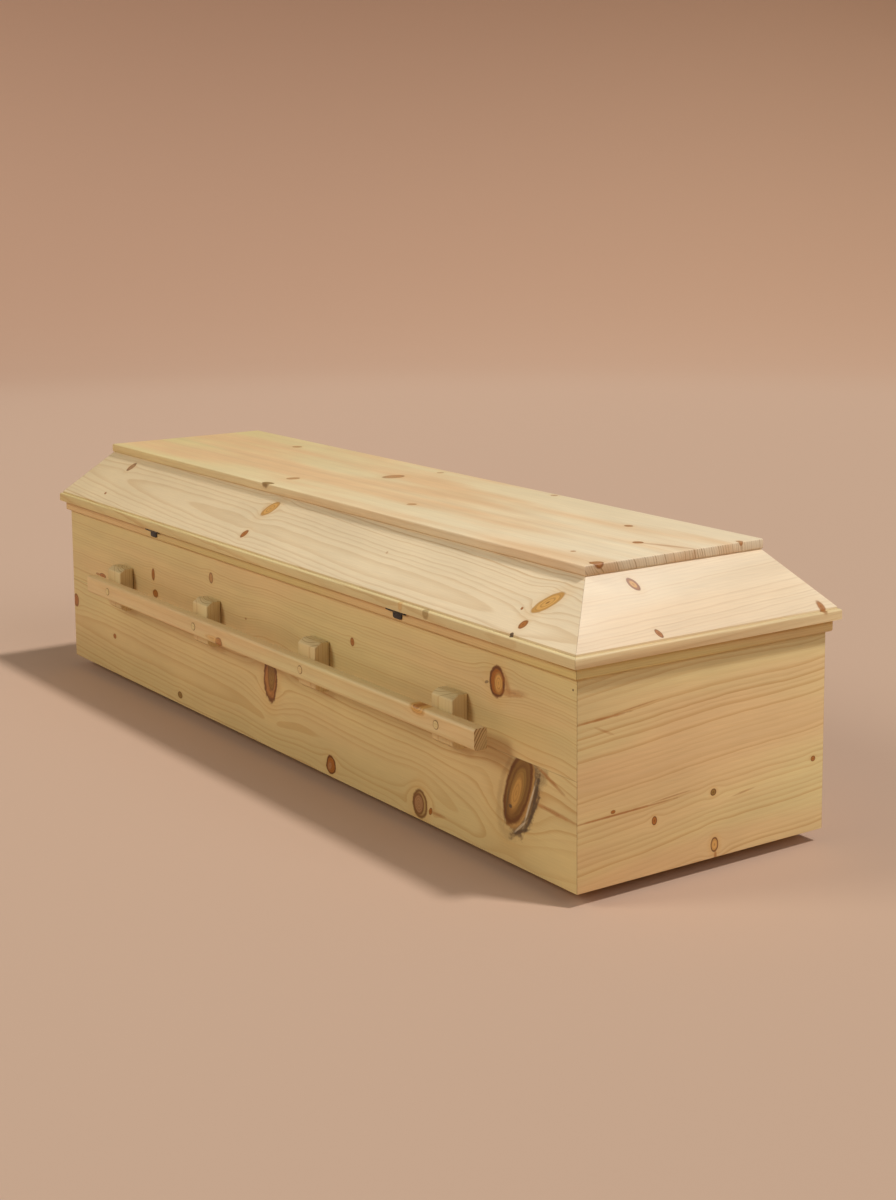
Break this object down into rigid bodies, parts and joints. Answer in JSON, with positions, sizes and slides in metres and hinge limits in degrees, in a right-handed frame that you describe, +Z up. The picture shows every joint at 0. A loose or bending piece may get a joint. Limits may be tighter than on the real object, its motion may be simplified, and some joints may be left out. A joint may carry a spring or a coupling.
{
  "type": "wooden coffin",
  "caption": "Pine coffin: a mitred rectangular box with a hinged lid of sloping boards and a flat top, and a wooden carrying rail along each long side.",
  "frame": {"origin": "on the floor below the middle of the box, in the plane of the battens' undersides", "axes": "+X towards the foot end, -Y towards the hinge side, +Z up"},
  "size_m": [2.091, 0.7042, 0.5674],
  "materials": {
    "box_pine": "sanded knotty pine, clear satin",
    "trim_pine": "sanded pine, clear satin",
    "lid_pine": "sanded pale pine, clear satin",
    "rail_pine": "rounded pine rail, clear satin",
    "block_pine": "pine with upright grain, clear satin",
    "plug_wood": "wooden plug with end grain",
    "inner_pine": "planed pine, unfinished",
    "black_steel": "satin black"
  },
  "bodies": {
    "box": {"box_board_front": "box_pine", "box_board_back": "box_pine", "box_board_foot": "box_pine", "box_board_head": "box_pine", "floor_panel": "inner_pine", "batten_1": "inner_pine", "batten_2": "inner_pine", "batten_3": "inner_pine", "trim_front": "trim_pine", "trim_back": "trim_pine", "trim_foot": "trim_pine", "trim_head": "trim_pine", "rail_front": "rail_pine", "rail_block_front_1": "block_pine", "rail_block_front_2": "block_pine", "rail_block_front_3": "block_pine", "rail_block_front_4": "block_pine", "rail_plug_front_1": "plug_wood", "rail_plug_front_2": "plug_wood", "rail_plug_front_3": "plug_wood", "rail_plug_front_4": "plug_wood", "rail_back": "rail_pine", "rail_block_back_1": "block_pine", "rail_block_back_2": "block_pine", "rail_block_back_3": "block_pine", "rail_block_back_4": "block_pine", "rail_plug_back_1": "plug_wood", "rail_plug_back_2": "plug_wood", "rail_plug_back_3": "plug_wood", "rail_plug_back_4": "plug_wood", "hinge_foot_box_leaf": "black_steel", "hinge_head_box_leaf": "black_steel"},
    "lid": {"lid_slope_front": "lid_pine", "lid_slope_back": "lid_pine", "lid_slope_foot": "lid_pine", "lid_slope_head": "lid_pine", "lid_top": "lid_pine", "hinge_foot_lid_leaf": "black_steel", "hinge_head_lid_leaf": "black_steel"}
  },
  "joints": [
    {"name": "lid_hinge", "type": "hinge", "parent": "box", "child": "lid", "pos_m": [0, -0.30105, 0.41965], "axis": [1, 0, 0], "range_deg": [0, 105]}
  ]
}
